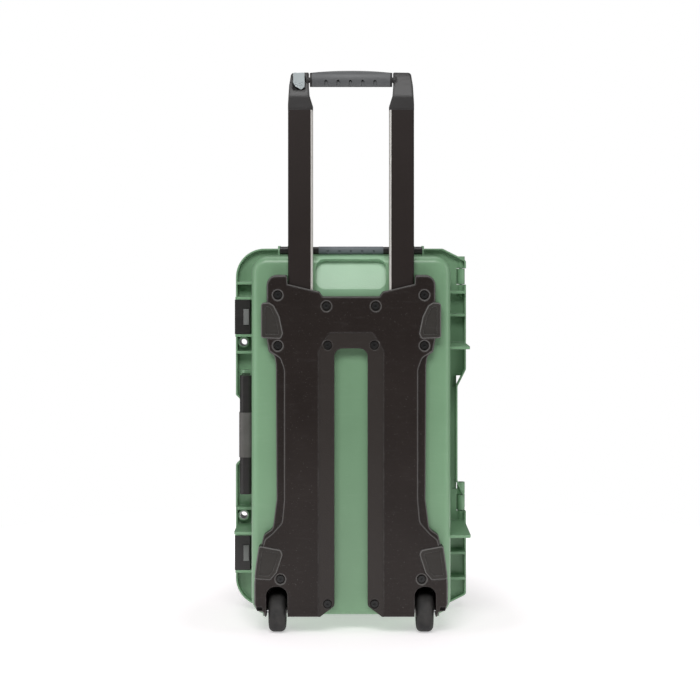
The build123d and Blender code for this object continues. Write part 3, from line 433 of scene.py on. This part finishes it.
def roundedBox(low, high, radius):
    mesh = bpy.data.meshes.new("box")
    shape = bmesh.new()
    bmesh.ops.create_cube(shape, size=1)
    for vert in shape.verts:
        vert.co = Vector([(a + b) / 2 + (b - a) * c for a, b, c in zip(low, high, vert.co)])
    upright = [e for e in shape.edges if abs(e.verts[0].co.y - e.verts[1].co.y) > 1e-4]
    bmesh.ops.bevel(shape, geom=upright, offset=radius, segments=6, profile=0.5, affect="EDGES")
    shape.to_mesh(mesh)
    shape.free()
    return mesh


foamLook = {
    "colour": (0.040, 0.040, 0.043), "pore": (0.008, 0.008, 0.009), "dust": (0.06, 0.06, 0.062),
    "poreScale": 900, "poreDepth": 0.5 * mm, "softening": 1.6 * mm, "cornerRadius": 19 * mm,
    "pocketRadius": 3 * mm, "pitch": 34 * mm, "peak": 12 * mm, "gridStep": 4.5 * mm,
    "notchHalf": 57 * mm, "notchDepth": 12 * mm, "notchHeight": 50.5 * mm,
}
foam = openCellFoam("open_cell_foam", foamLook)


def settled(block, cutters, sharpDegrees):
    # the block's mesh with its modifiers worked in, smooth but for its sharp edges
    bpy.context.view_layer.update()
    shaped = bpy.data.meshes.new_from_object(block.evaluated_get(bpy.context.evaluated_depsgraph_get()))
    for gone in (block, *cutters):
        bpy.data.objects.remove(gone)
    for face in shaped.polygons:
        face.use_smooth = True
    shaped.set_sharp_from_angle(angle=math.radians(sharpDegrees))
    return shaped


def cutFoam(look):
    # one block with a pocket for each thing that the record says goes in
    low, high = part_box("base_foam")
    block = bpy.data.objects.new("foamBlock", roundedBox(low, high, look["cornerRadius"]))
    bpy.context.scene.collection.objects.link(block)
    cutters = []
    margin = 2 * mm
    holes = [
        roundedBox(
            [c - margin for c in opening["box_m"][0]],
            (opening["box_m"][1][0] + margin, high.y + 0.02, opening["box_m"][1][2] + margin),
            look["pocketRadius"],
        )
        for opening in frame["record"]["physics"]["openings"] if opening["name"].endswith("_pocket")
    ]
    # relief at the top of the back, where the shell is thicker
    holes.append(roundedBox(
        (-look["notchHalf"], low.y - 0.02, high.z - look["notchHeight"]),
        (look["notchHalf"], low.y + look["notchDepth"], high.z + 0.02), margin,
    ))
    for mesh in holes:
        cutter = bpy.data.objects.new("cutter", mesh)
        bpy.context.scene.collection.objects.link(cutter)
        cutters.append(cutter)
        cut = block.modifiers.new("cut", "BOOLEAN")
        cut.operation = "DIFFERENCE"
        cut.solver = "EXACT"
        cut.object = cutter
    soften = block.modifiers.new("soften", "BEVEL")
    soften.width = look["softening"]
    soften.segments = 3
    soften.limit_method = "ANGLE"
    soften.angle_limit = math.radians(50)
    piece = newPiece("cut_foam", settled(block, cutters, 40), "base", foam)
    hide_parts("base_foam")


def eggCrateFoam(look):
    # a pad whose open side is waved in both directions, fading to a flat border
    low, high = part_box("lid_foam")
    step = look["gridStep"]
    border = 14 * mm
    countX = int((high.x - low.x) / step)
    countZ = int((high.z - low.z) / step)
    shape = bmesh.new()

    def faceDepth(x, z):
        inset = min(x - low.x, high.x - x, z - low.z, high.z - z)
        fade = min(1, max(0, (inset - border * 0.3) / border))
        turn = 2 * math.pi / look["pitch"]
        wave = math.sin(turn * (x - low.x)) * math.sin(turn * (z - low.z))
        return low.y + 0.3 * mm + fade * look["peak"] * (0.5 - 0.5 * wave)

    grid = [
        [
            shape.verts.new((x, faceDepth(x, z), z))
            for x in (low.x + (high.x - low.x) * i / countX for i in range(countX + 1))
        ]
        for z in (low.z + (high.z - low.z) * j / countZ for j in range(countZ + 1))
    ]
    back = [[shape.verts.new((v.co.x, high.y, v.co.z)) for v in row] for row in (grid[0], grid[-1])]
    for j in range(countZ):
        for i in range(countX):
            shape.faces.new((grid[j][i], grid[j][i + 1], grid[j + 1][i + 1], grid[j + 1][i]))
    # sides are carried back to a flat rear face
    left = [row[0] for row in grid]
    right = [row[-1] for row in grid]
    leftBack = [back[0][0], *[shape.verts.new((v.co.x, high.y, v.co.z)) for v in left[1:-1]], back[1][0]]
    rightBack = [back[0][-1], *[shape.verts.new((v.co.x, high.y, v.co.z)) for v in right[1:-1]], back[1][-1]]
    for run, rear in ((grid[0], back[0]), (grid[-1], back[1]), (left, leftBack), (right, rightBack)):
        for k in range(len(run) - 1):
            shape.faces.new((run[k], run[k + 1], rear[k + 1], rear[k]))
    rim = back[0] + rightBack[1:] + back[1][-2::-1] + leftBack[-2:0:-1]
    shape.faces.new(rim)
    bmesh.ops.recalc_face_normals(shape, faces=shape.faces)
    mesh = bpy.data.meshes.new("egg_crate")
    shape.to_mesh(mesh)
    shape.free()
    # the pad's corners are rounded to sit in those of the lid
    pad = bpy.data.objects.new("pad", mesh)
    trimIn = 0.1 * mm
    trim = bpy.data.objects.new("trim", roundedBox(
        (low.x + trimIn, low.y - trimIn, low.z + trimIn), (high.x - trimIn, high.y + trimIn, high.z - trimIn),
        look["cornerRadius"],
    ))
    for made in (pad, trim):
        bpy.context.scene.collection.objects.link(made)
    cut = pad.modifiers.new("trim", "BOOLEAN")
    cut.operation = "INTERSECT"
    cut.solver = "EXACT"
    cut.object = trim
    piece = newPiece("egg_crate_foam", settled(pad, [trim], 55), "lid", foam)
    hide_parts("lid_foam")


cutFoam(foamLook)
eggCrateFoam(foamLook)
print("foam in")


# floor, light and camera

studio = {
    "floor": (0.86, 0.81, 0.835), "floorGlow": 0.8, "shadedGlow": 0.53,
    "shadedReach": 0.24, "clearReach": 0.5, "floorRadius": 1.0, "ambient": 0.1, "backdrop": 1.0,
    "keyRadiance": 9.5, "stripRadiance": 2.0, "topRadiance": 2.0,
    "cameraDistance": 2.15, "cameraHeight": 0.556, "lens": 76.8, "shiftUp": -0.143,
}


def softBox(name, place, target, size, radiance):
    light = bpy.data.lights.new(name, "AREA")
    light.shape = "RECTANGLE"
    light.size, light.size_y = size
    light.energy = radiance * math.pi * size[0] * size[1]
    lamp = bpy.data.objects.new(name, light)
    bpy.context.scene.collection.objects.link(lamp)
    lamp.location = place
    lamp.rotation_euler = (Vector(target) - Vector(place)).to_track_quat("-Z", "Y").to_euler()


def paleFloor(look):
    mesh = bpy.data.meshes.new("floor")
    turns = [2 * math.pi * k / 96 for k in range(96)]
    rim = [(look["floorRadius"] * math.cos(t), look["floorRadius"] * math.sin(t), 0) for t in turns]
    mesh.from_pydata(rim, [], [list(range(len(rim)))])
    floor = bpy.data.objects.new("floor", mesh)
    bpy.context.scene.collection.objects.link(floor)
    kit = Finish("paper_floor")
    tone = kit.noise(1.5, 3)
    reach = kit.add("ShaderNodeVectorMath", {"operation": "LENGTH"}, {0: kit.place}, "Value")
    glow = kit.ramp(reach, (look["shadedReach"], look["shadedGlow"]), (look["clearReach"], 1))
    mesh.materials.append(kit.done({
        "Base Color": kit.blend(tone, look["floor"], tuple(c * 1.02 for c in look["floor"])),
        "Roughness": 0.8, "Specular IOR Level": 0.2,
        "Emission Color": glow, "Emission Strength": look["floorGlow"],
    }))


def studioWorld(look):
    # the backdrop is seen white, but lights the case only softly
    world = bpy.data.worlds.new("studio")
    world.use_nodes = True
    tree = world.node_tree
    backdrop = tree.nodes["Background"]
    backdrop.inputs["Color"].default_value = (1, 1, 1, 1)
    seen = tree.nodes.new("ShaderNodeLightPath")
    level = tree.nodes.new("ShaderNodeMapRange")
    level.inputs["To Min"].default_value = look["ambient"]
    level.inputs["To Max"].default_value = look["backdrop"]
    tree.links.new(seen.outputs["Is Camera Ray"], level.inputs["Value"])
    tree.links.new(level.outputs["Result"], backdrop.inputs["Strength"])
    bpy.context.scene.world = world
    bpy.context.scene.view_settings.view_transform = "Standard"


def levelCamera(look):
    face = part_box("trolley_housing")[0].y
    camera = bpy.data.cameras.new("camera")
    camera.lens = look["lens"]
    camera.sensor_width = 36
    camera.shift_y = look["shiftUp"]
    eye = bpy.data.objects.new("camera", camera)
    bpy.context.scene.collection.objects.link(eye)
    eye.location = (-1.5 * mm, face - look["cameraDistance"], look["cameraHeight"])
    eye.rotation_euler = (math.radians(90), 0, 0)
    bpy.context.scene.camera = eye


paleFloor(studio)
studioWorld(studio)
# the key hangs high in front, so that faces leaning back catch it and upright ones don't
softBox("key", (-0.25, -2.2, 2.1), (0, 0, 0.55), (1.7, 0.9), studio["keyRadiance"])
softBox("leftStrip", (-1.7, -0.9, 0.8), (0, 0, 0.4), (0.9, 1.9), studio["stripRadiance"])
softBox("rightStrip", (1.7, -0.8, 0.8), (0, 0, 0.4), (0.8, 1.9), studio["stripRadiance"])
softBox("top", (0, 0.3, 2.6), (0, 0, 0.3), (2.0, 1.2), studio["topRadiance"])
levelCamera(studio)
print("studio ready")
